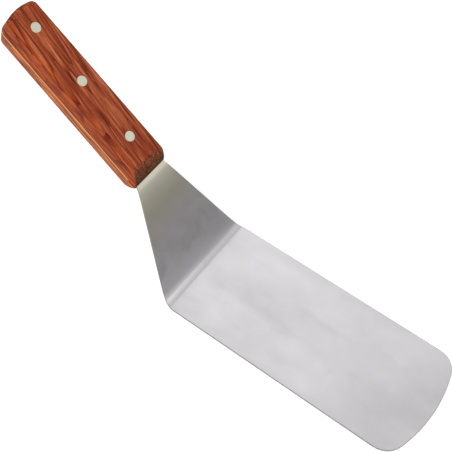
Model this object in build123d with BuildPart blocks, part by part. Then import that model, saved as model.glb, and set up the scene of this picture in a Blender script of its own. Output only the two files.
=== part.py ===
from build123d import *
import os
from math import cos, hypot, radians, sin, tan

# Grill spatula, also sold as a solid turner, in millimetres.
# One stamped steel sheet makes the flat blade, the tapering neck and the full-length tang. Two wooden
# scales sandwich the tang, and three two-piece compression rivets clamp the stack.
# The blade lies flat on the ground plane, +X points from the handle towards the blade's front edge,
# and the origin is the middle of the bounding box at the blade's underside.

# --- Sheet: blade, neck and tang -------------------------------------------------------------------
SHEET_THICKNESS = 1.3
BLADE_LENGTH = 164.35  # from the end of the heel bend to the middle of the front edge
BLADE_WIDTH_HEEL = 76.0
BLADE_WIDTH_FRONT = 77.0
FRONT_EDGE_BULGE = 7.8  # how far the middle of the front edge leads its ends
FRONT_CORNER_RADIUS = 14.0
HEEL_INNER_RADIUS = 7.0
SHOULDER_LEAD = 0.6  # the neck's taper starts on the flat blade, this far ahead of the heel bend
NECK_ANGLE = 57.9  # rise of the neck above the blade, degrees
NECK_LENGTH = 71.0  # between the two bends' theoretical corners
THROAT_WIDTH = 25.4  # narrowest width, at the front of the handle
TANG_BEND_RADIUS = 12.0  # inner radius of the gentle bend at the handle's front

# --- Handle ----------------------------------------------------------------------------------------
HANDLE_ANGLE = 36.0  # rise of the handle above the blade, degrees
HANDLE_SETBACK = 3.2  # from the second bend's theoretical corner to the front of the upper scale
HANDLE_LENGTH = 120.0
HANDLE_WIDTH_FRONT = 27.3
HANDLE_WIDTH_REAR = 25.5
HANDLE_THICKNESS = 24.4
SIDE_DRAFT = 7.6  # the scales' sides lean inwards, degrees
REAR_BULGE = 2.5  # how far the middle of the rear end stands out past its corners
REAR_CORNER_RADIUS = 5.2
REAR_LEAN = 13.2  # the rear end leans over, so that the upper scale reaches further back, degrees
UPPER_FRONT_SETBACK = 10.2  # each scale's front face slopes back by this much over its thickness
LOWER_FRONT_SETBACK = 5.8
UPPER_FRONT_SKEW = 1.5  # more setback than that at the -Y side of the upper scale, less at the +Y side
UPPER_FRONT_BELLY = 0.9  # the sloping front faces are convex by this much
LOWER_FRONT_BELLY = 1.4
LOWER_FRONT_LEAD = 0.4  # the lower scale starts this far ahead of the upper one
SCALE_EDGE_ROUNDING = 2.8
FRONT_EDGE_ROUNDING = 0.8
TANG_SHOULDER_START = 3.0  # hidden between these two distances behind the front of the scales,
TANG_SHOULDER_END = 7.0  # the tang widens from the throat to the handle's full width

# --- Rivets: a solid pin half driven into a hollow half ---------------------------------------------
RIVET_STATIONS = (25.8, 67.4, 106.4)  # distances behind the front of the scales
RIVET_NAMES = ("front", "middle", "rear")
RIVET_HEAD_RADIUS = 3.2
RIVET_HEAD_HEIGHT = 2.5
RIVET_BARREL_RADIUS = 2.4
RIVET_PIN_RADIUS = 1.5
RIVET_END_GAP = 0.6  # left between the barrel's mouth and the other head, and below the pin's tip
RIVET_HEAD_BREAK = 0.15
TANG_HOLE_CLEARANCE = 0.1

# --- Derived places --------------------------------------------------------------------------------
neck_rise = radians(NECK_ANGLE)
handle_rise = radians(HANDLE_ANGLE)
side_draft = radians(SIDE_DRAFT)
rear_lean = tan(radians(REAR_LEAN))
half_sheet = SHEET_THICKNESS / 2
half_handle = HANDLE_THICKNESS / 2
heel_tangent = (HEEL_INNER_RADIUS + half_sheet) * tan(neck_rise / 2)
handle_front_run = heel_tangent + NECK_LENGTH * cos(neck_rise) + HANDLE_SETBACK * cos(handle_rise)
# The rearmost point is on the rounded edge between the lower scale's rear end and its underside.
lower_rear_slope = tan(side_draft) + rear_lean
rounding_depth = half_handle - SCALE_EDGE_ROUNDING
rounding_station = (
    HANDLE_LENGTH
    - (rounding_depth - half_sheet) * lower_rear_slope
    - SCALE_EDGE_ROUNDING * hypot(1, lower_rear_slope)
)
handle_rear_run = (
    rounding_station * cos(handle_rise) + rounding_depth * sin(handle_rise) + SCALE_EDGE_ROUNDING
)
blade_start_x = (handle_front_run + handle_rear_run - BLADE_LENGTH) / 2
blade_front_x = blade_start_x + BLADE_LENGTH
tang_length = HANDLE_SETBACK + HANDLE_LENGTH

neck_direction = Vector(-cos(neck_rise), 0, sin(neck_rise))
neck_normal = Vector(sin(neck_rise), 0, cos(neck_rise))
handle_direction = Vector(-cos(handle_rise), 0, sin(handle_rise))
handle_normal = Vector(sin(handle_rise), 0, cos(handle_rise))

# The sheet's mid-surface corners, front to rear.
heel_corner = Vector(blade_start_x - heel_tangent, 0, half_sheet)
tang_corner = heel_corner + neck_direction * NECK_LENGTH
tang_end = tang_corner + handle_direction * tang_length
handle_front = tang_corner + handle_direction * HANDLE_SETBACK

neck_plane = Plane(origin=heel_corner, x_dir=neck_direction, z_dir=neck_normal)
tang_plane = Plane(origin=handle_front, x_dir=handle_direction, z_dir=handle_normal)

CUT_MARGIN = 20.0  # how far the trimming tools reach past the metal or wood they cut
CUT_OVERLAP = 0.5  # how far neighbouring trimming tools reach over each other
scale_thickness = half_handle - half_sheet
rear_shift = scale_thickness * rear_lean  # how far the outer faces' rear ends are from the tang's
shank_length = HANDLE_THICKNESS - 2 * RIVET_HEAD_HEIGHT - RIVET_END_GAP
upper_scale_plane = tang_plane.offset(half_sheet)
lower_scale_plane = Plane(
    origin=handle_front - handle_normal * half_sheet, x_dir=handle_direction, z_dir=-handle_normal
)


def shifted_plane(base, along):
    """The same plane with its origin moved along its own x direction."""
    return Plane(origin=base.from_local_coords((along, 0, 0)), x_dir=base.x_dir, z_dir=base.z_dir)


def sheet_face_points(offset):
    """Corners of the sheet's side profile, offset up (+) or down (-) from its mid-surface."""
    normals = [Vector(0, 0, 1), neck_normal, handle_normal]
    front = Vector(blade_front_x, 0, half_sheet) + normals[0] * offset
    points = [(front.X, front.Z)]
    for corner, before, after in zip((heel_corner, tang_corner), normals, normals[1:]):
        shifted = corner + (before + after) * (offset / (1 + before.dot(after)))
        points.append((shifted.X, shifted.Z))
    rear = tang_end + normals[2] * offset
    points.append((rear.X, rear.Z))
    return points


def draw_handle_outline(front_side):
    """Closed plan of the handle: a slight taper to a bulging rear end with round corners.

    front_side lists the points of the front end's left half, ending where the long side starts.
    """
    half_rear = HANDLE_WIDTH_REAR / 2
    rear_x = HANDLE_LENGTH - REAR_BULGE
    left_side = [*front_side, (rear_x, half_rear)]
    right_side = [(x, -y) for x, y in reversed(left_side)]
    with BuildSketch(mode=Mode.PRIVATE) as outline:
        with BuildLine():
            Polyline(*right_side, *left_side)
            ThreePointArc((rear_x, half_rear), (HANDLE_LENGTH, 0), (rear_x, -half_rear))
        make_face()
        fillet(outline.vertices().group_by(Axis.X)[-1], radius=REAR_CORNER_RADIUS)
    return outline.sketch_local


def build_blade():
    """The bent sheet: its side profile is swept across, then trimmed square to each flat stretch."""
    half_heel = BLADE_WIDTH_HEEL / 2
    half_front = BLADE_WIDTH_FRONT / 2
    half_throat = THROAT_WIDTH / 2
    blank_half_width = half_front + CUT_OVERLAP
    waste_y = blank_half_width + CUT_MARGIN
    corner_x = blade_front_x - FRONT_EDGE_BULGE
    taper_start = -(heel_tangent + SHOULDER_LEAD) * cos(neck_rise)
    taper_end = NECK_LENGTH + HANDLE_SETBACK * cos(neck_rise - handle_rise)
    taper_slope = (half_heel - half_throat) / (taper_end - taper_start)
    side_slope = (HANDLE_WIDTH_REAR - HANDLE_WIDTH_FRONT) / 2 / (HANDLE_LENGTH - REAR_BULGE)
    half_shoulder = HANDLE_WIDTH_FRONT / 2 + side_slope * TANG_SHOULDER_END
    tang_front = [
        (-CUT_OVERLAP, half_throat + CUT_OVERLAP * taper_slope),
        (0, half_throat),
        (TANG_SHOULDER_START, half_throat),
        (TANG_SHOULDER_END, half_shoulder),
    ]
    with BuildPart() as blade:
        with BuildSketch(Plane.XZ):
            with BuildLine():
                top = FilletPolyline(
                    *sheet_face_points(half_sheet),
                    radius=[HEEL_INNER_RADIUS, TANG_BEND_RADIUS + SHEET_THICKNESS],
                )
                bottom = FilletPolyline(
                    *sheet_face_points(-half_sheet),
                    radius=[HEEL_INNER_RADIUS + SHEET_THICKNESS, TANG_BEND_RADIUS],
                )
                Line(top @ 0, bottom @ 0)
                Line(top @ 1, bottom @ 1)
            make_face()
        extrude(amount=blank_half_width, both=True)

        # Blade: straight sides, a bulging front edge and round front corners.
        with BuildSketch(Plane.XY):
            with Locations((blade_start_x, 0)):
                Rectangle(2 * BLADE_LENGTH, 2 * waste_y, align=(Align.MIN, Align.CENTER))
            with BuildSketch(mode=Mode.PRIVATE) as outline:
                with BuildLine():
                    Polyline(
                        (corner_x, -half_front),
                        (blade_start_x, -half_heel),
                        (blade_start_x, half_heel),
                        (corner_x, half_front),
                    )
                    ThreePointArc((corner_x, half_front), (blade_front_x, 0), (corner_x, -half_front))
                make_face()
                fillet(outline.vertices().group_by(Axis.X)[-1], radius=FRONT_CORNER_RADIUS)
            add(outline.sketch_local, mode=Mode.SUBTRACT)
        extrude(amount=SHEET_THICKNESS, mode=Mode.SUBTRACT)

        # Neck: both sides taper, on to the front of the handle.
        with BuildSketch(neck_plane):
            with BuildLine():
                Polyline(
                    (taper_start - CUT_OVERLAP, half_heel + CUT_OVERLAP * taper_slope),
                    (taper_end, half_throat),
                    (taper_end + CUT_OVERLAP, half_throat),
                    (taper_end + CUT_OVERLAP, waste_y),
                    (taper_start - CUT_OVERLAP, waste_y),
                    close=True,
                )
            make_face()
            mirror(about=Plane.XZ)
        extrude(amount=CUT_MARGIN / 2, both=True, mode=Mode.SUBTRACT)

        # Tang: flush with the handle, narrowing to the throat inside the handle's front end.
        with BuildSketch(tang_plane):
            with Locations((-CUT_OVERLAP, 0)):
                Rectangle(tang_length + CUT_MARGIN, 2 * waste_y, align=(Align.MIN, Align.CENTER))
            add(draw_handle_outline(tang_front), mode=Mode.SUBTRACT)
        extrude(amount=CUT_MARGIN / 2, both=True, mode=Mode.SUBTRACT)

        with BuildSketch(*(shifted_plane(tang_plane, station) for station in RIVET_STATIONS)):
            Circle(RIVET_BARREL_RADIUS + TANG_HOLE_CLEARANCE)
        extrude(amount=SHEET_THICKNESS, both=True, mode=Mode.SUBTRACT)
    return blade


def draw_front_waste(front_x, setback, belly):
    """Side profile of what is cut away in front of a scale, in a sketch's own plane.

    The front face starts at front_x on the tang, slopes back by setback and is convex by belly.
    """
    setback_x = front_x + setback
    slope_length = hypot(setback, scale_thickness)
    belly_point = (
        front_x + setback / 2 - belly * scale_thickness / slope_length,
        scale_thickness / 2 + belly * setback / slope_length,
    )
    with BuildSketch(mode=Mode.PRIVATE) as waste:
        with BuildLine():
            ThreePointArc((front_x, 0), belly_point, (setback_x, scale_thickness))
            Polyline(
                (setback_x, scale_thickness),
                (setback_x, 2 * scale_thickness),
                (-CUT_MARGIN, 2 * scale_thickness),
                (-CUT_MARGIN, 0),
                (front_x, 0),
            )
        make_face()
    return waste.sketch_local


def build_scale(plane, front_x, front_setback, front_skew, front_belly, rear_offset):
    """A wooden handle scale lying on one face of the tang, with counterbored rivet holes.

    Its front face starts at front_x on the tang, slopes back by front_setback and is convex by
    front_belly. The slope's top is skewed by front_skew over half the handle's width. The scale's
    outer face lies rear_offset behind its tang face.
    """
    side_plane = Plane(origin=plane.origin, x_dir=plane.x_dir, z_dir=-plane.y_dir)
    outer_plane = plane.offset(scale_thickness)
    outward = Axis(plane.origin, plane.z_dir)
    rearward = Axis(plane.origin, plane.x_dir)
    scale_front = [(front_x, HANDLE_WIDTH_FRONT / 2)]
    with BuildPart() as scale:
        with BuildSketch(plane):
            add(draw_handle_outline(scale_front))
        with BuildSketch(outer_plane):
            with Locations((rear_offset, 0)):
                add(draw_handle_outline(scale_front))
            offset(amount=-scale_thickness * tan(side_draft), kind=Kind.INTERSECTION)
        loft(ruled=True)

        # The front face slopes back from the tang.
        with BuildSketch(side_plane.offset(-HANDLE_WIDTH_FRONT)):
            add(draw_front_waste(front_x, front_setback + 2 * front_skew, front_belly))
        with BuildSketch(side_plane.offset(HANDLE_WIDTH_FRONT)):
            add(draw_front_waste(front_x, front_setback - 2 * front_skew, front_belly))
        loft(ruled=True, mode=Mode.SUBTRACT)

        outer_edges = scale.faces().sort_by(outward)[-1].edges()
        front_edge = outer_edges.sort_by(rearward)[0]
        fillet([edge for edge in outer_edges if edge is not front_edge], radius=SCALE_EDGE_ROUNDING)
        front_edge = scale.faces().sort_by(outward)[-1].edges().sort_by(rearward)[0]
        fillet(front_edge, radius=FRONT_EDGE_ROUNDING)
        with Locations(*(shifted_plane(outer_plane, station) for station in RIVET_STATIONS)):
            CounterBoreHole(
                radius=RIVET_BARREL_RADIUS,
                counter_bore_radius=RIVET_HEAD_RADIUS,
                counter_bore_depth=RIVET_HEAD_HEIGHT,
            )
    return scale


def build_rivet_pin(station):
    """The rivet half with a solid pin, its head flush with the upper scale."""
    plane = shifted_plane(tang_plane.offset(half_handle), station)
    with BuildPart() as pin:
        with BuildSketch(plane):
            Circle(RIVET_HEAD_RADIUS)
        extrude(amount=-RIVET_HEAD_HEIGHT)
        with BuildSketch(plane.offset(-RIVET_HEAD_HEIGHT)):
            Circle(RIVET_PIN_RADIUS)
        extrude(amount=-shank_length)
        chamfer(pin.edges().sort_by(Axis(plane.origin, plane.z_dir))[-1], RIVET_HEAD_BREAK)
    return pin


def build_rivet_barrel(station):
    """The rivet half with a hollow barrel, its head flush with the lower scale."""
    head_plane = shifted_plane(tang_plane.offset(-half_handle), station)
    shank_plane = head_plane.offset(RIVET_HEAD_HEIGHT)
    with BuildPart() as barrel:
        with BuildSketch(head_plane):
            Circle(RIVET_HEAD_RADIUS)
        extrude(amount=RIVET_HEAD_HEIGHT)
        with BuildSketch(shank_plane):
            Circle(RIVET_BARREL_RADIUS)
            Circle(RIVET_PIN_RADIUS, mode=Mode.SUBTRACT)
        extrude(amount=shank_length)
        chamfer(barrel.edges().sort_by(Axis(head_plane.origin, head_plane.z_dir))[0], RIVET_HEAD_BREAK)
    return barrel


pieces = {
    "blade": build_blade(),
    "handle_scale_upper": build_scale(
        upper_scale_plane, 0, UPPER_FRONT_SETBACK, UPPER_FRONT_SKEW, UPPER_FRONT_BELLY, rear_shift
    ),
    "handle_scale_lower": build_scale(
        lower_scale_plane, -LOWER_FRONT_LEAD, LOWER_FRONT_SETBACK, 0, LOWER_FRONT_BELLY, -rear_shift
    ),
}
for rivet_name, rivet_station in zip(RIVET_NAMES, RIVET_STATIONS):
    pieces[f"rivet_pin_{rivet_name}"] = build_rivet_pin(rivet_station)
    pieces[f"rivet_barrel_{rivet_name}"] = build_rivet_barrel(rivet_station)

os.makedirs("parts", exist_ok=True)
for name, piece in pieces.items():
    piece.part.label = name
    export_step(piece.part, f"parts/{name}.step")
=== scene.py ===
from math import atan2, ceil, cos, pi, radians, sin, sqrt, tan

import bpy
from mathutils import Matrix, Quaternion, Vector


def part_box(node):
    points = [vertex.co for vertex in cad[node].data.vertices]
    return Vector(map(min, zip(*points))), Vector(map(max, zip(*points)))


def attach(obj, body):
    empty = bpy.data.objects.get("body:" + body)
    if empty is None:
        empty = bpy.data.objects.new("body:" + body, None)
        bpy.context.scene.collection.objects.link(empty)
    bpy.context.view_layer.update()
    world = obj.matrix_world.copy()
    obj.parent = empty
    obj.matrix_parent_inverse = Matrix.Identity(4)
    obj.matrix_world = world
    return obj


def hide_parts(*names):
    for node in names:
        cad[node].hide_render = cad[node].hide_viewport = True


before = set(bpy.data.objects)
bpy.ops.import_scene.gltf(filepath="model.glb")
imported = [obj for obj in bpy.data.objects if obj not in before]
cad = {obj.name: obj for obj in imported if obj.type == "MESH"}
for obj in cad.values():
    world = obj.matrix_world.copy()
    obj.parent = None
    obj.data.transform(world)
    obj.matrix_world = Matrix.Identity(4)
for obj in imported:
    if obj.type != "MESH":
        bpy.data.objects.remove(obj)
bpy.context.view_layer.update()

# A grill spatula: one bent stainless sheet, two wooden handle scales and three rivets. Metres throughout.
# The CAD's scales and rivets are shown with new materials. The sheet is modelled again below, on the CAD
# blade's own dimensions, as a clean quad mesh with deburred edges.
MM = 0.001

# --- Dimensions of the sheet, as in the CAD part -----------------------------------------------------
SHEET_THICKNESS = 1.3 * MM
BLADE_LENGTH = 164.35 * MM
HALF_WIDTH_HEEL = 38.0 * MM
HALF_WIDTH_FRONT = 38.5 * MM
FRONT_EDGE_BULGE = 7.8 * MM
FRONT_CORNER_RADIUS = 14.0 * MM
HEEL_INNER_RADIUS = 7.0 * MM
SHOULDER_LEAD = 0.6 * MM
NECK_ANGLE = radians(57.9)
NECK_LENGTH = 71.0 * MM
HALF_THROAT = 12.7 * MM
TANG_BEND_RADIUS = 12.0 * MM
HANDLE_ANGLE = radians(36.0)
HANDLE_SETBACK = 3.2 * MM
HANDLE_LENGTH = 120.0 * MM
HALF_HANDLE_FRONT = 13.65 * MM
HALF_HANDLE_REAR = 12.75 * MM
REAR_BULGE = 2.5 * MM
REAR_CORNER_RADIUS = 5.2 * MM
FRONT_ROUNDING = 17.6 * MM  # from the front edge's middle to where the corners' rounding meets the sides
REAR_ROUNDING = 7.7 * MM
TANG_SHOULDER_START = 3.0 * MM
TANG_SHOULDER_END = 7.0 * MM

# The bends don't stop dead: the sheet runs into and out of them over a few millimetres. These are
# (length, turn) steps: of the blade into the heel bend, out of it up the neck, and out of the tang bend
# down the neck.
HEEL_RUN_IN = ((3.5 * MM, radians(3.0)),)
HEEL_RUN_OUT = ((3.0 * MM, radians(5.0)), (7.0 * MM, radians(4.5)))
TANG_RUN_OUT = ((2.5 * MM, radians(3.0)), (5.5 * MM, radians(3.0)))

half_sheet = SHEET_THICKNESS / 2
blade_front_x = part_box("blade")[1].x
heel_radius = HEEL_INNER_RADIUS + half_sheet
tang_radius = TANG_BEND_RADIUS + half_sheet
tang_angle = NECK_ANGLE - HANDLE_ANGLE
heel_tangent = heel_radius * tan(NECK_ANGLE / 2)
heel_corner = Vector((blade_front_x - BLADE_LENGTH - heel_tangent, 0, half_sheet))
neck_direction = Vector((-cos(NECK_ANGLE), 0, sin(NECK_ANGLE)))
handle_direction = Vector((-cos(HANDLE_ANGLE), 0, sin(HANDLE_ANGLE)))


def bend(radius, turn, run_in, run_out):
    """Stretches (length, curvature) of a bend and its run-outs, and its reach each way from its corner."""
    main_turn = turn - sum(part_turn for _, part_turn in run_in + run_out)
    steps = (*run_in, (radius * main_turn, main_turn), *run_out)
    stretches = [(length, part_turn / length) for length, part_turn in steps]
    x, z, angle = 0.0, 0.0, 0.0
    for length, curvature in stretches:
        turned = angle + length * curvature
        x += (sin(turned) - sin(angle)) / curvature
        z += (cos(angle) - cos(turned)) / curvature
        angle = turned
    reach_after = z / sin(turn)
    return stretches, x - reach_after * cos(turn), reach_after


heel_bend, heel_ahead, heel_behind = bend(heel_radius, NECK_ANGLE, HEEL_RUN_IN, HEEL_RUN_OUT)
tang_bend, tang_behind, tang_ahead = bend(tang_radius, tang_angle, (), TANG_RUN_OUT)
tang_bend = [(length, -curvature) for length, curvature in reversed(tang_bend)]

# The sheet's mid-surface, unrolled: each stretch's length and curvature, from the front edge to the rear.
STRETCHES = (
    (BLADE_LENGTH + heel_tangent - heel_ahead, 0),
    *heel_bend,
    (NECK_LENGTH - heel_behind - tang_ahead, 0),
    *tang_bend,
    (HANDLE_SETBACK - tang_behind + HANDLE_LENGTH, 0),
)


def run_behind(stretch_count):
    return sum(length for length, _ in STRETCHES[:stretch_count])


heel_start = run_behind(1)
heel_end = run_behind(1 + len(heel_bend))
tang_bend_start = run_behind(2 + len(heel_bend))
tang_bend_end = run_behind(2 + len(heel_bend) + len(tang_bend))
rear_run = run_behind(len(STRETCHES))
handle_front_run = rear_run - HANDLE_LENGTH


def sheet_frame(run):
    """Mid-surface point, rearward direction and upward normal, run metres behind the front edge."""
    x, z, angle = blade_front_x, half_sheet, 0.0
    for length, curvature in STRETCHES:
        step = min(run, length)
        turned = angle + step * curvature
        if curvature:
            x -= (sin(turned) - sin(angle)) / curvature
            z += (cos(angle) - cos(turned)) / curvature
        else:
            x -= step * cos(angle)
            z += step * sin(angle)
        angle = turned
        run -= step
        if run <= 0:
            break
    return Vector((x, 0, z)), Vector((-cos(angle), 0, sin(angle))), Vector((sin(angle), 0, cos(angle)))


def half_width(run):
    """Half the sheet's width, run metres behind the front edge, leaving out the round ends."""
    behind_handle_front = run - handle_front_run
    if behind_handle_front > TANG_SHOULDER_START:
        side_slope = (HALF_HANDLE_FRONT - HALF_HANDLE_REAR) / (HANDLE_LENGTH - REAR_BULGE)
        full = HALF_HANDLE_FRONT - side_slope * behind_handle_front
        shoulder = (behind_handle_front - TANG_SHOULDER_START) / (TANG_SHOULDER_END - TANG_SHOULDER_START)
        return HALF_THROAT + (full - HALF_THROAT) * min(shoulder, 1)
    along_neck = (sheet_frame(run)[0] - heel_corner).dot(neck_direction)
    taper_start = -(heel_tangent + SHOULDER_LEAD) * cos(NECK_ANGLE)
    taper_end = NECK_LENGTH + HANDLE_SETBACK * cos(tang_angle)
    taper_slope = (HALF_WIDTH_HEEL - HALF_THROAT) / (taper_end - taper_start)
    taper = max(HALF_WIDTH_HEEL - taper_slope * (along_neck - taper_start), HALF_THROAT)
    widening = (HALF_WIDTH_FRONT - HALF_WIDTH_HEEL) / (BLADE_LENGTH - FRONT_EDGE_BULGE)
    return min(HALF_WIDTH_HEEL + widening * max(BLADE_LENGTH - run, 0), taper)


def round_end(half, bulge, radius):
    """A bulging end with round corners, in plan, x pointing out of the end and 0 at its theoretical corners.

    Returns where a corner's rounding meets the side, and a function that gives the point at a share of the
    way from there (0) to the end's middle (1), with share 0.5 at the end of the corner's rounding.
    """
    end_radius = (half**2 + bulge**2) / (2 * bulge)
    end_centre = bulge - end_radius
    centre_y = half - radius
    centre_x = end_centre + sqrt((end_radius - radius) ** 2 - centre_y**2)
    meeting = atan2(centre_y, centre_x - end_centre)

    def point(share):
        if share < 0.5:
            angle = pi / 2 + (meeting - pi / 2) * 2 * share
            return centre_x + radius * cos(angle), centre_y + radius * sin(angle)
        angle = meeting * (2 - 2 * share)
        return end_centre + end_radius * cos(angle), end_radius * sin(angle)

    return centre_x, point


# --- Mesh helpers ------------------------------------------------------------------------------------
def spread(start, end, longest):
    """Evenly spaced values from start up to, but not with, end, at most longest apart."""
    count = max(ceil(abs(end - start) / longest - 1e-6), 1)
    return [start + (end - start) * i / count for i in range(count)]


def coons(first_row, last_row, left, right):
    """Rows of points filling the patch between two opposite rows and the two sides that join them."""
    rows = []
    last = len(left) - 1
    columns = len(first_row) - 1
    for i in range(last + 1):
        t = i / last
        row = []
        for j in range(columns + 1):
            k = j / columns
            ruled_rows = first_row[j] * (1 - t) + last_row[j] * t
            ruled_sides = left[i] * (1 - k) + right[i] * k
            corners = (first_row[0] * (1 - k) + first_row[-1] * k) * (1 - t)
            corners += (last_row[0] * (1 - k) + last_row[-1] * k) * t
            row.append(ruled_rows + ruled_sides - corners)
        rows.append(row)
    return rows


# --- The sheet ---------------------------------------------------------------------------------------
COLUMNS = 24
CORNER_COLUMNS = 3  # columns across each half of a corner's rounding
ROW_STEP = 4 * MM
BEND_STEP = 0.35 * MM
SHOULDER_STEP = 1 * MM
FRONT_STEP = 3 * MM
REAR_STEP = 2 * MM
FRONT_ZONE = 26 * MM  # the rows curve from straight to the front edge's shape over this length
REAR_ZONE = 8 * MM
RIM_RADIUS = 0.42 * MM  # deburred edges of the blade and neck
TANG_RIM_RADIUS = 0.08 * MM  # the tang's edges are ground flush with the wood
RIM_STEPS = 4
RIM_SUPPORT = 0.35 * MM  # a loop this far inside the rim keeps the flat faces flat


def rim_radius(run):
    """The rim's radius, which shrinks between the neck and the scales."""
    share = min(max((run - tang_bend_end) / (handle_front_run - tang_bend_end), 0), 1)
    return RIM_RADIUS + (TANG_RIM_RADIUS - RIM_RADIUS) * share


def end_points(end_run, facing, half, bulge, radius):
    """Plan points of a round end's +Y half, for an end that faces the front (1) or the rear (-1).

    Returns the run where its rounding meets the side, the points from there to the middle of the rounding,
    and the points from there to the middle of the end.
    """
    side_x, point = round_end(half, bulge, radius)
    quarter = 0.25  # share at the middle of the corner's rounding
    plain_columns = COLUMNS // 2 - CORNER_COLUMNS
    side_shares = [quarter * i / CORNER_COLUMNS for i in range(CORNER_COLUMNS + 1)]
    row_shares = [quarter + quarter * i / CORNER_COLUMNS for i in range(CORNER_COLUMNS)]
    row_shares += [0.5 + 0.5 * i / plain_columns for i in range(plain_columns + 1)]

    def to_plan(share):
        x, y = point(share)
        return Vector((end_run - facing * (x - bulge), y))

    side_run = end_run - facing * (side_x - bulge)
    return side_run, [to_plan(share) for share in side_shares], [to_plan(share) for share in row_shares]


def mirrored(points):
    """The points mirrored to the -Y side, in the opposite order."""
    return [Vector((p.x, -p.y)) for p in reversed(points)]


def sheet_outline():
    """Plan points (run, y) round the sheet: +Y side to the front, front, -Y side to the rear, rear.

    Also returns how many points a side has, and how many rows lie in the rear's and the front's patches.
    """
    front_side_run, front_side, front_half = end_points(
        0, 1, half_width(FRONT_ROUNDING), FRONT_EDGE_BULGE, FRONT_CORNER_RADIUS
    )
    rear_side_run, rear_side, rear_half = end_points(
        rear_run, -1, half_width(rear_run - REAR_ROUNDING), REAR_BULGE, REAR_CORNER_RADIUS
    )
    stops = (  # where a stretch of rows starts, and how far apart its rows are
        (rear_side_run, REAR_STEP),
        (rear_side_run - REAR_ZONE, ROW_STEP),
        (handle_front_run + TANG_SHOULDER_END, SHOULDER_STEP),
        (handle_front_run + TANG_SHOULDER_START, SHOULDER_STEP),
        (handle_front_run, SHOULDER_STEP),
        (tang_bend_end, BEND_STEP),
        (tang_bend_start, ROW_STEP),
        (heel_end, BEND_STEP),
        (BLADE_LENGTH - SHOULDER_LEAD, BEND_STEP),
        (heel_start, ROW_STEP),
        (front_side_run + FRONT_ZONE, FRONT_STEP),
        (front_side_run, 0),
    )
    stretches = [spread(start, end, step) for (start, step), (end, _) in zip(stops, stops[1:])]
    straight_side = [Vector((run, half_width(run))) for runs in stretches for run in runs]
    side = rear_side[:0:-1] + straight_side + front_side
    front_row = front_half + mirrored(front_half)[1:]
    rear_row = rear_half + mirrored(rear_half)[1:]
    outline = side + front_row[1:-1] + mirrored(side) + rear_row[-2:0:-1]
    rear_rows = len(rear_side) - 1 + len(stretches[0])
    front_rows = len(front_side) - 1 + len(stretches[-1])
    return outline, len(side), rear_rows, front_rows


def outward_normals(outline):
    """Unit vectors in plan that point out of a closed outline, one at each of its points."""
    normals = []
    for before, after in zip(outline[-1:] + outline[:-1], outline[1:] + outline[:1]):
        tangent = after - before
        normals.append(Vector((tangent.y, -tangent.x)).normalized())
    return normals


def face_rows(outline, side_count, rear_rows, front_rows):
    """Rows of plan points that fill an outline from the rear to the front, curved at both ends."""
    front_end = side_count + COLUMNS - 1
    minus_end = front_end + side_count
    plus_side = outline[:side_count]
    minus_side = outline[front_end:minus_end][::-1]
    front = outline[side_count - 1 : front_end + 1]
    rear = [plus_side[0], *outline[minus_end:][::-1], minus_side[0]]
    straight_end = side_count - front_rows
    straight = []
    for plus, minus in zip(plus_side[rear_rows:straight_end], minus_side[rear_rows:straight_end]):
        straight.append([plus.lerp(minus, j / COLUMNS) for j in range(COLUMNS + 1)])
    rear_patch = coons(rear, straight[0], plus_side[: rear_rows + 1], minus_side[: rear_rows + 1])
    front_patch = coons(
        straight[-1], front, plus_side[straight_end - 1 :], minus_side[straight_end - 1 :]
    )
    return rear_patch[:-1] + straight + front_patch[1:]


class SheetMesh:
    """A mesh on the bent sheet. Its points are given in plan, and by their lift above the mid-surface."""

    def __init__(self):
        self.vertices = []
        self.normals = []
        self.plans = []
        self.faces = []

    def add_point(self, plan, lift, lean=0.0, outward=None):
        """Adds a point whose normal leans by an angle from the face's own towards the outward direction."""
        place, along, up = sheet_frame(plan.x)
        self.vertices.append(place + Vector((0, plan.y, 0)) + up * lift)
        normal = up * (1 if lift > 0 else -1)
        if outward is not None:
            out = along * outward.x + Vector((0, outward.y, 0))
            normal = normal * cos(lean) + out * sin(lean)
        self.normals.append(normal.normalized())
        self.plans.append(plan)
        return len(self.vertices) - 1

    def add_face(self, plan_rows, sign):
        """Adds the upper (1) or lower (-1) face's grid and returns the loop round it."""
        grid = [[self.add_point(plan, sign * half_sheet) for plan in row] for row in plan_rows]
        for row, next_row in zip(grid, grid[1:]):
            for j in range(COLUMNS):
                quad = (row[j], row[j + 1], next_row[j + 1], next_row[j])
                self.faces.append(quad if sign > 0 else quad[::-1])
        plus_side = [row[0] for row in grid]
        minus_side = [row[-1] for row in grid]
        return plus_side + grid[-1][1:-1] + minus_side[::-1] + grid[0][-2:0:-1]

    def add_rim_loop(self, outline, normals, sign, lean):
        """Adds the loop of the rim's rounding where it leans outward from the upper or lower face."""
        loop = []
        for point, outward in zip(outline, normals):
            radius = rim_radius(point.x)
            plan = point - outward * (radius * (1 - sin(lean)))
            lift = sign * (half_sheet - radius * (1 - cos(lean)))
            loop.append(self.add_point(plan, lift, lean, outward))
        return loop

    def join(self, inner, outer):
        """Joins two closed loops by a band of faces."""
        count = len(inner)
        for i in range(count):
            after = (i + 1) % count
            self.faces.append((inner[i], inner[after], outer[after], outer[i]))

    def to_object(self, name):
        """Makes the object, with its normals and with its unrolled plan as its texture coordinates."""
        mesh = bpy.data.meshes.new(name)
        mesh.from_pydata(self.vertices, [], self.faces)
        mesh.validate()
        mesh.shade_smooth()
        mesh.normals_split_custom_set_from_vertices(self.normals)
        unrolled = mesh.uv_layers.new(name="unrolled")
        for loop in mesh.loops:
            unrolled.data[loop.index].uv = self.plans[loop.vertex_index]
        made = bpy.data.objects.new(name, mesh)
        bpy.context.scene.collection.objects.link(made)
        return made


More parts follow.
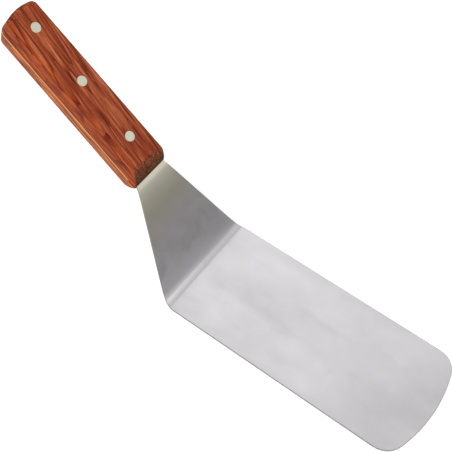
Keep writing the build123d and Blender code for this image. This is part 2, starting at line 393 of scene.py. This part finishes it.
def build_sheet():
    """The blade, neck and tang: two gridded faces, joined by a rounded rim."""
    outline, side_count, rear_rows, front_rows = sheet_outline()
    normals = outward_normals(outline)
    inner_outline = []
    for point, outward in zip(outline, normals):
        inner_outline.append(point - outward * (rim_radius(point.x) + RIM_SUPPORT))
    plan_rows = face_rows(inner_outline, side_count, rear_rows, front_rows)
    leans = [pi / 2 * step / RIM_STEPS for step in range(RIM_STEPS + 1)]

    sheet_mesh = SheetMesh()
    loops = [sheet_mesh.add_face(plan_rows, 1)]
    loops += [sheet_mesh.add_rim_loop(outline, normals, 1, lean) for lean in leans]
    loops += [sheet_mesh.add_rim_loop(outline, normals, -1, lean) for lean in reversed(leans)]
    loops.append(sheet_mesh.add_face(plan_rows, -1))
    for inner, outer in zip(loops, loops[1:]):
        sheet_mesh.join(inner, outer)
    return sheet_mesh.to_object("spatula_sheet")


# --- Node helpers ------------------------------------------------------------------------------------
class Nodes:
    """A node tree, with short calls for the nodes used here."""

    def __init__(self, tree):
        self.tree = tree

    def node(self, kind, inputs=(), **properties):
        made = self.tree.nodes.new(kind)
        for name, value in properties.items():
            setattr(made, name, value)
        for name, value in dict(inputs).items():
            self.put(made.inputs[name], value)
        return made

    def put(self, socket, value):
        """Links another node's output to a socket, or sets the socket's own value."""
        if isinstance(value, bpy.types.NodeSocket):
            self.tree.links.new(value, socket)
        else:
            socket.default_value = value

    def part(self, vector, axis):
        return self.node("ShaderNodeSeparateXYZ", {"Vector": vector}).outputs[axis]

    def place(self, source, scale=(1, 1, 1), rotation=(0, 0, 0), location=(0, 0, 0)):
        inputs = {"Vector": source, "Scale": scale, "Rotation": rotation, "Location": location}
        return self.node("ShaderNodeMapping", inputs).outputs["Vector"]

    def noise(self, vector, scale=1.0, detail=2.0, roughness=0.5, distortion=0.0):
        inputs = {"Vector": vector, "Scale": scale, "Detail": detail}
        inputs.update({"Roughness": roughness, "Distortion": distortion})
        return self.node("ShaderNodeTexNoise", inputs).outputs["Fac"]

    def map(self, value, low, high, to_low=0.0, to_high=1.0, course="LINEAR"):
        inputs = {"Value": value, "From Min": low, "From Max": high, "To Min": to_low, "To Max": to_high}
        return self.node("ShaderNodeMapRange", inputs, interpolation_type=course).outputs["Result"]

    def band(self, value, middle, reach):
        """A share that falls from 1 at the middle to 0 at the reach on either side of it."""
        away = self.math("ABSOLUTE", self.math("SUBTRACT", value, middle))
        return self.map(away, reach, 0.0)

    def math(self, operation, first, second=0.0):
        made = self.node("ShaderNodeMath", operation=operation)
        self.put(made.inputs[0], first)
        self.put(made.inputs[1], second)
        return made.outputs["Value"]

    def vector_math(self, operation, first, second):
        made = self.node("ShaderNodeVectorMath", operation=operation)
        self.put(made.inputs[0], first)
        self.put(made.inputs[1], second)
        return made.outputs["Value" if operation == "DOT_PRODUCT" else "Vector"]

    def mix(self, share, first, second, blend="MIX"):
        made = self.node("ShaderNodeMix", data_type="RGBA", blend_type=blend)
        self.put(made.inputs[0], share)
        self.put(made.inputs[6], first)
        self.put(made.inputs[7], second)
        return made.outputs[2]

    def ramp(self, value, stops):
        made = self.node("ShaderNodeValToRGB", {"Fac": value})
        elements = made.color_ramp.elements
        while len(elements) < len(stops):
            elements.new(0.5)
        for element, (position, tone) in zip(elements, stops):
            element.position = position
            element.color = tone
        return made.outputs["Color"]

    def bump(self, height, strength, distance, normal=None):
        inputs = {"Height": height, "Strength": strength, "Distance": distance}
        if normal is not None:
            inputs["Normal"] = normal
        return self.node("ShaderNodeBump", inputs).outputs["Normal"]


class MaterialNodes(Nodes):
    """The node tree of a new material, with its shader."""

    def __init__(self, name):
        self.material = bpy.data.materials.new(name)
        self.material.use_nodes = True
        super().__init__(self.material.node_tree)
        self.tree.nodes.clear()
        output = self.node("ShaderNodeOutputMaterial")
        self.shader = self.node("ShaderNodeBsdfPrincipled")
        self.put(output.inputs["Surface"], self.shader.outputs["BSDF"])

    def set(self, **values):
        """Sets the shader's inputs; underscores stand for spaces in their names."""
        for name, value in values.items():
            self.put(self.shader.inputs[name.replace("_", " ")], value)


def colour(red, green, blue):
    """A colour given as sRGB values from 0 to 255."""
    linear = [(c / 255 / 12.92) if c < 11 else ((c / 255 + 0.055) / 1.055) ** 2.4 for c in (red, green, blue)]
    return (*linear, 1.0)


# --- Materials ---------------------------------------------------------------------------------------
# Scales are the noise's cycles per metre: along the sheet or the handle, across it and through it.

# Steel
CLOUD_SCALE = 17
CLOUD_STRETCH = (1, 1.5, 1)
CLOUD_SHIFT = (0.31, 0.77, 0)
SMEAR_SCALES = (13, 60, 1)
SMEAR_TURN = (0, 0, 0.1)
ROLLING_SCALES = (45, 2600, 1)
SCUFF_SCALES = (900, 60, 1)
SCUFF_TURN = (0, 0, 0.5)
MOTTLE_SCALE = 85
MOTTLE_RISE = (heel_end, heel_end + 5 * MM)
MOTTLE_FALL = (heel_end + 8 * MM, heel_end + 34 * MM)
CLOUD_TONES = ((0.30, colour(211, 208, 211)), (0.50, colour(215, 212, 215)), (0.70, colour(218, 215, 218)))
SMEAR_COLOUR = colour(203, 200, 204)
ROLLING_COLOUR = colour(226, 224, 225)
SCUFF_COLOUR = colour(190, 187, 190)
MOTTLE_TINT = (0.85, 0.84, 0.82, 1)
# A painted warm highlight on the neck, brightest near the handle.
NECK_HIGHLIGHT_TONES = (
    (0.00, colour(210, 207, 203)),
    (0.56, colour(211, 205, 186)),
    (0.82, colour(234, 229, 207)),
    (1.00, colour(232, 226, 206)),
)
NECK_HIGHLIGHT_START_RUN = tang_bend_end - 44 * MM
# A painted highlight across the sheet where the heel bend starts.
BEND_START_HIGHLIGHT_COLOUR = colour(238, 237, 238)
BEND_START_HIGHLIGHT_RUN = run_behind(1 + len(HEEL_RUN_IN)) + 2.2 * MM  # just behind the start of the bend's main arc
BEND_START_HIGHLIGHT_REACH = 2.4 * MM
BEND_START_HIGHLIGHT_SHARE = 0.6
# A painted highlight on the heel bend, brightest at its -Y end.
BEND_HIGHLIGHT_COLOUR = colour(250, 249, 249)
BEND_HIGHLIGHT_RUN = BEND_START_HIGHLIGHT_RUN + 3.0 * MM
BEND_HIGHLIGHT_REACH = 5.0 * MM
BEND_HIGHLIGHT_START_Y = 4.0 * MM
BEND_HIGHLIGHT_FULL_Y = -38.0 * MM
# A painted reflection of the wood on the tang's ground edge.
TANG_EDGE_REFLECTION_COLOUR = colour(244, 182, 112)
STEEL_ROUGHNESS = (0.40, 0.35)  # where the clouds are dark, and where they are light

# Wood
ALONG_HANDLE = (0, -HANDLE_ANGLE, 0)  # lays the handle along X
GRAIN_SKEW = (0, radians(1.5), radians(6.0))
SWAY_SCALES = (14, 45, 45)
SWAY = 1.6 * MM
RING_SCALES = (11, 105, 80)
RINGS = 9.0
STREAK_SCALES = (26, 560, 480)
FINE_LINE_SCALES = (45, 1500, 1300)
PORE_SCALES = (260, 3400, 3400)
SPECK_SCALES = (900, 1300, 1300)
RING_WEIGHT = 0.34
STREAK_WEIGHT = 0.44
FINE_LINE_WEIGHT = 0.22
WOOD_TONES = (
    (0.37, colour(74, 20, 4)),
    (0.44, colour(112, 40, 14)),
    (0.50, colour(144, 60, 26)),
    (0.56, colour(164, 80, 42)),
    (0.64, colour(196, 114, 70)),
)
PORE_COLOUR = colour(70, 24, 8)
END_GRAIN_TONES = ((0.40, colour(52, 22, 6)), (0.50, colour(92, 48, 22)), (0.62, colour(150, 92, 50)))
END_GRAIN_PAINTED_SHADE = colour(44, 18, 8)
END_PAINTED_SHADE_HEIGHTS = (4.0 * MM, 1.0 * MM)  # above the sheet, from no painted shade to the full painted shade
END_BLEND_HEIGHTS = (7.0 * MM, 12.0 * MM)
WOOD_ROUGHNESS = (0.56, 0.44)  # of the dark streaks and of the pale wood
SIDE_FACES = (0.35, 0.85)  # where the normal's part along Y starts to count as a side, and fully does
FRONT_FACES = (-0.45, -0.62)  # the same for the front, of the normal's part along the handle
REAR_FACES = (0.82, 0.96)
sheet_place, _, sheet_normal = sheet_frame(handle_front_run)
sheet_height = sheet_place.dot(sheet_normal)  # of the tang's middle, measured square to the handle

# Rivets and floor
SANDING_SCALES = (700, 9000, 700)
RIVET_CLOUD_SCALE = 420
RIVET_TONES = (colour(228, 227, 204), colour(238, 236, 216))
RIVET_ROUGHNESS = (0.34, 0.46)
FLOOR_TONES = (colour(244, 244, 243), colour(248, 248, 247))
FLOOR_CLOUD_SCALE = 3.0
FLOOR_GLOW = 0.45


def steel_material():
    """Satin stainless sheet: rolling lines, clouds, smears, scuffs, mottling, and painted highlights and
    reflection.
    """
    nodes = MaterialNodes("satin_stainless")
    unrolled = nodes.node("ShaderNodeUVMap", uv_map="unrolled").outputs["UV"]
    run = nodes.part(unrolled, "X")
    cloud_place = nodes.place(unrolled, CLOUD_STRETCH, location=CLOUD_SHIFT)
    clouds = nodes.noise(cloud_place, CLOUD_SCALE, detail=3.0, roughness=0.45)
    smears = nodes.noise(nodes.place(unrolled, SMEAR_SCALES, SMEAR_TURN), detail=3.0, distortion=0.4)
    lines = nodes.noise(nodes.place(unrolled, ROLLING_SCALES), detail=4.0, roughness=0.6)
    scuffs = nodes.noise(nodes.place(unrolled, SCUFF_SCALES, SCUFF_TURN), detail=3.0)
    base = nodes.ramp(clouds, CLOUD_TONES)
    base = nodes.mix(nodes.map(smears, 0.46, 0.74, 0.0, 0.25), base, SMEAR_COLOUR)
    base = nodes.mix(nodes.map(lines, 0.35, 0.75, 0.0, 0.22), base, ROLLING_COLOUR)
    base = nodes.mix(nodes.map(scuffs, 0.66, 0.78, 0.0, 0.25), base, SCUFF_COLOUR)

    # Painted highlight: a warm, brighter tone on the neck, strongest towards the handle.
    neck_highlight = nodes.map(run, NECK_HIGHLIGHT_START_RUN, tang_bend_end)
    neck_highlight_share = nodes.math("MULTIPLY", nodes.map(neck_highlight, 0.0, 0.5), nodes.map(clouds, 0.2, 0.75, 1.0, 0.75))
    base = nodes.mix(neck_highlight_share, base, nodes.ramp(neck_highlight, NECK_HIGHLIGHT_TONES))
    # Soft mottling all over, which is strongest at the front of the neck.
    rising = nodes.map(run, *MOTTLE_RISE, 0.2, 1.0)
    falling = nodes.map(run, *MOTTLE_FALL, 1.0, 0.1)
    mottling = nodes.noise(unrolled, MOTTLE_SCALE, detail=3.0, roughness=0.55)
    mottling = nodes.map(mottling, 0.38, 0.62, 0.0, nodes.math("MULTIPLY", rising, falling))
    base = nodes.mix(mottling, base, MOTTLE_TINT, "MULTIPLY")
    # Painted highlights: a lighter line across the sheet where the heel bend starts, and the bend behind it,
    # which is brightest at its -Y end.
    bend_start_highlight = nodes.band(run, BEND_START_HIGHLIGHT_RUN, BEND_START_HIGHLIGHT_REACH)
    base = nodes.mix(nodes.math("MULTIPLY", bend_start_highlight, BEND_START_HIGHLIGHT_SHARE), base, BEND_START_HIGHLIGHT_COLOUR)
    # Painted highlight on the heel bend, brightest at its -Y end.
    bend_highlight = nodes.map(nodes.part(unrolled, "Y"), BEND_HIGHLIGHT_START_Y, BEND_HIGHLIGHT_FULL_Y)
    bend_highlight = nodes.math("MULTIPLY", bend_highlight, nodes.band(run, BEND_HIGHLIGHT_RUN, BEND_HIGHLIGHT_REACH))
    base = nodes.mix(bend_highlight, base, BEND_HIGHLIGHT_COLOUR)
    # Between the scales, the ground edge of the tang gets a painted reflection of the wood's colour.
    base = nodes.mix(nodes.map(run, tang_bend_end, handle_front_run), base, TANG_EDGE_REFLECTION_COLOUR)
    nodes.set(Base_Color=base, Metallic=1.0)

    rough = nodes.map(clouds, 0.25, 0.75, *STEEL_ROUGHNESS)
    rough = nodes.math("ADD", rough, nodes.map(lines, 0.2, 0.8, -0.04, 0.04))
    rough = nodes.math("ADD", rough, nodes.map(smears, 0.45, 0.75, 0.0, 0.03))
    nodes.set(Roughness=rough)
    fine = nodes.bump(lines, 0.15, 0.04 * MM)
    nodes.set(Normal=nodes.bump(smears, 0.12, 0.6 * MM, fine))
    return nodes.material


def end_grain(nodes, turned, straight, wood):
    """Dark, porous end grain with painted shade, darkest at the sheet, that blends into the wood towards the
    top.
    """
    specks = nodes.noise(nodes.place(straight, SPECK_SCALES), detail=3.0, roughness=0.65)
    grain = nodes.ramp(specks, END_GRAIN_TONES)
    height = nodes.math("SUBTRACT", nodes.part(turned, "Z"), sheet_height)
    # Painted shade where the end grain meets the sheet.
    grain = nodes.mix(nodes.map(height, *END_PAINTED_SHADE_HEIGHTS, 0.0, 0.6), grain, END_GRAIN_PAINTED_SHADE)
    return nodes.mix(nodes.map(height, *END_BLEND_HEIGHTS, 0.0, 0.7), grain, wood)


def wood_material(name, shift, face_light_tint, side_light_tint):
    """Reddish rosewood: rings and dark streaks along the handle, fine pores and dark ends."""
    nodes = MaterialNodes(name)
    position = nodes.node("ShaderNodeTexCoord").outputs["Object"]
    turned = nodes.place(position, rotation=ALONG_HANDLE)
    straight = nodes.place(turned, rotation=GRAIN_SKEW, location=shift)
    sway = nodes.noise(nodes.place(straight, SWAY_SCALES), detail=1.0)
    offset = nodes.node("ShaderNodeCombineXYZ", {"Y": nodes.map(sway, 0.2, 0.8, -SWAY, SWAY)})
    fibre = nodes.vector_math("ADD", straight, offset.outputs["Vector"])

    figure = nodes.noise(nodes.place(fibre, RING_SCALES), detail=1.5)
    rings = nodes.math("FRACT", nodes.math("MULTIPLY", figure, RINGS))
    streaks = nodes.noise(nodes.place(fibre, STREAK_SCALES), detail=3.0, roughness=0.6)
    lines = nodes.noise(nodes.place(fibre, FINE_LINE_SCALES), roughness=0.55)
    pores = nodes.noise(nodes.place(fibre, PORE_SCALES), detail=1.0)
    tone = nodes.math("MULTIPLY", nodes.map(rings, 0.55, 1.0, 0.62, 0.30), RING_WEIGHT)
    tone = nodes.math("ADD", tone, nodes.math("MULTIPLY", streaks, STREAK_WEIGHT))
    tone = nodes.math("ADD", tone, nodes.math("MULTIPLY", lines, FINE_LINE_WEIGHT))
    wood = nodes.ramp(tone, WOOD_TONES)
    # Painted light by facing: each scale's face and sides get their own tint, a bluish sheen on the upper
    # face, a darker orange upper side and a lighter lower side.
    normal = nodes.node("ShaderNodeNewGeometry").outputs["True Normal"]
    sideways = nodes.math("ABSOLUTE", nodes.part(normal, "Y"))
    facing_light_tint = nodes.mix(nodes.map(sideways, *SIDE_FACES), face_light_tint, side_light_tint)
    wood = nodes.mix(1.0, wood, facing_light_tint, "MULTIPLY")
    pore_share = nodes.map(pores, 0.60, 0.70)
    wood = nodes.mix(nodes.math("MULTIPLY", pore_share, 0.5), wood, PORE_COLOUR)

    rearward = nodes.vector_math("DOT_PRODUCT", normal, handle_direction)
    end_share = nodes.math("MAXIMUM", nodes.map(rearward, *FRONT_FACES), nodes.map(rearward, *REAR_FACES))
    nodes.set(Base_Color=nodes.mix(end_share, wood, end_grain(nodes, turned, straight, wood)))
    rough = nodes.map(streaks, 0.3, 0.7, *WOOD_ROUGHNESS)
    rough = nodes.math("ADD", rough, nodes.math("MULTIPLY", end_share, 0.25))
    nodes.set(Roughness=rough, Specular_IOR_Level=0.2)
    relief = nodes.math("SUBTRACT", nodes.math("MULTIPLY", streaks, 0.6), pore_share)
    nodes.set(Normal=nodes.bump(relief, 0.35, 0.12 * MM))
    return nodes.material


def rivet_material():
    """Aluminium rivet, ground flush: fine parallel sanding marks and a soft sheen."""
    nodes = MaterialNodes("rivet_aluminium")
    position = nodes.node("ShaderNodeTexCoord").outputs["Object"]
    turned = nodes.place(position, rotation=ALONG_HANDLE)
    marks = nodes.noise(nodes.place(turned, SANDING_SCALES), detail=3.0, roughness=0.6)
    clouds = nodes.noise(turned, RIVET_CLOUD_SCALE)
    nodes.set(Base_Color=nodes.mix(nodes.map(clouds, 0.3, 0.7), *RIVET_TONES), Metallic=1.0)
    nodes.set(Roughness=nodes.map(marks, 0.2, 0.8, *RIVET_ROUGHNESS))
    nodes.set(Normal=nodes.bump(marks, 0.15, 0.04 * MM))
    return nodes.material


def floor_material():
    """Pale studio floor with a little light of its own."""
    nodes = MaterialNodes("pale_floor")
    position = nodes.node("ShaderNodeTexCoord").outputs["Object"]
    shade = nodes.mix(nodes.noise(position, FLOOR_CLOUD_SCALE), *FLOOR_TONES)
    nodes.set(Base_Color=shade, Roughness=0.9)
    nodes.set(Emission_Color=shade, Emission_Strength=FLOOR_GLOW)
    return nodes.material


def give(obj, material):
    obj.data.materials.clear()
    obj.data.materials.append(material)


sheet = build_sheet()
give(sheet, steel_material())
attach(sheet, "root")
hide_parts("blade")

# The face and side tints are painted light on each scale.
upper_wood = wood_material(
    "rosewood_upper", shift=(0, 0, 0), face_light_tint=(1.04, 1.04, 1.2, 1), side_light_tint=(0.90, 0.64, 0.16, 1)
)
lower_wood = wood_material(
    "rosewood_lower", shift=(0.31, 0.17, 0.23), face_light_tint=(1, 1, 1, 1), side_light_tint=(1.18, 1.2, 0.25, 1)
)
give(cad["handle_scale_upper"], upper_wood)
give(cad["handle_scale_lower"], lower_wood)
rivet_metal = rivet_material()
for name, node in cad.items():
    if name.startswith("rivet_"):
        give(node, rivet_metal)

# --- Floor, light and camera -------------------------------------------------------------------------
HALF_FLOOR = 6.0
floor_corners = [(-HALF_FLOOR, -HALF_FLOOR, 0), (HALF_FLOOR, -HALF_FLOOR, 0)]
floor_corners += [(HALF_FLOOR, HALF_FLOOR, 0), (-HALF_FLOOR, HALF_FLOOR, 0)]
floor_mesh = bpy.data.meshes.new("floor")
floor_mesh.from_pydata(floor_corners, [], [(0, 1, 2, 3)])
floor = bpy.data.objects.new("floor", floor_mesh)
bpy.context.scene.collection.objects.link(floor)
give(floor, floor_material())
floor.visible_glossy = False  # the satin steel mirrors the studio, not the floor


def direction(azimuth, elevation):
    """Unit vector towards a place seen from the object; azimuth 0 is -Y and 90 is +X, in degrees."""
    a, e = radians(azimuth), radians(elevation)
    return Vector((sin(a) * cos(e), -cos(a) * cos(e), sin(e)))


def add_softbox(name, azimuth, elevation, distance, size, power):
    """A round area light that faces the object and isn't mirrored in it."""
    light = bpy.data.lights.new(name, "AREA")
    light.shape = "DISK"
    light.size = size
    light.energy = power
    lamp = bpy.data.objects.new(name, light)
    towards = direction(azimuth, elevation)
    lamp.location = towards * distance
    lamp.rotation_mode = "QUATERNION"
    lamp.rotation_quaternion = towards.to_track_quat("Z", "Y")
    lamp.visible_glossy = False
    bpy.context.scene.collection.objects.link(lamp)


add_softbox("key_softbox", azimuth=-10, elevation=55, distance=1.4, size=1.0, power=12)

SKY_GREYS = (  # height of the direction, radiance; below the horizon it stands in for the pale floor
    (-0.45, 0.85),
    (-0.22, 0.18),
    (0.10, 0.20),
    (0.35, 0.61),
    (0.70, 0.36),
    (1.00, 0.20),
)
SKY_GLOWS = (  # azimuth, elevation, cosine at the edge, cosine of the full part, radiance
    (212, 56.4, 0.92, 0.999, 1.35),
    (127, 40, 0.72, 0.96, 0.42),
)


def studio_world():
    """A grey studio, palest a little above its dim horizon, with two large soft lights in it."""
    world = bpy.data.worlds.new("studio")
    world.use_nodes = True
    nodes = Nodes(world.node_tree)
    towards = nodes.node("ShaderNodeTexCoord").outputs["Generated"]
    stops = [((height + 1) / 2, (grey, grey, grey, 1)) for height, grey in SKY_GREYS]
    total = nodes.ramp(nodes.map(nodes.part(towards, "Z"), -1.0, 1.0), stops)
    for azimuth, elevation, edge, full, radiance in SKY_GLOWS:
        nearness = nodes.vector_math("DOT_PRODUCT", towards, direction(azimuth, elevation))
        glow = nodes.map(nearness, edge, full, 0.0, radiance, "SMOOTHSTEP")
        total = nodes.vector_math("ADD", total, glow)
    nodes.put(world.node_tree.nodes["Background"].inputs["Color"], total)
    return world


bpy.context.scene.world = studio_world()
bpy.context.scene.view_settings.view_transform = "Standard"

CAMERA_TARGET = Vector((-0.0193, 0.0323, 0))
CAMERA_AZIMUTH = 33.81
CAMERA_ELEVATION = 56.40
CAMERA_ROLL = 3.21
CAMERA_DISTANCE = 0.7018
CAMERA_LENS = 86.6
CAMERA_SENSOR = 36  # in millimetres, like the lens
CAMERA_CLIP = 10 * MM

camera_data = bpy.data.cameras.new("camera")
camera_data.lens = CAMERA_LENS
camera_data.sensor_width = CAMERA_SENSOR
camera_data.clip_start = CAMERA_CLIP
camera = bpy.data.objects.new("camera", camera_data)
back = direction(CAMERA_AZIMUTH, CAMERA_ELEVATION)
camera.location = CAMERA_TARGET + back * CAMERA_DISTANCE
camera.rotation_mode = "QUATERNION"
roll = Quaternion((0, 0, 1), radians(CAMERA_ROLL))
camera.rotation_quaternion = (-back).to_track_quat("-Z", "Y") @ roll
bpy.context.scene.collection.objects.link(camera)
bpy.context.scene.camera = camera
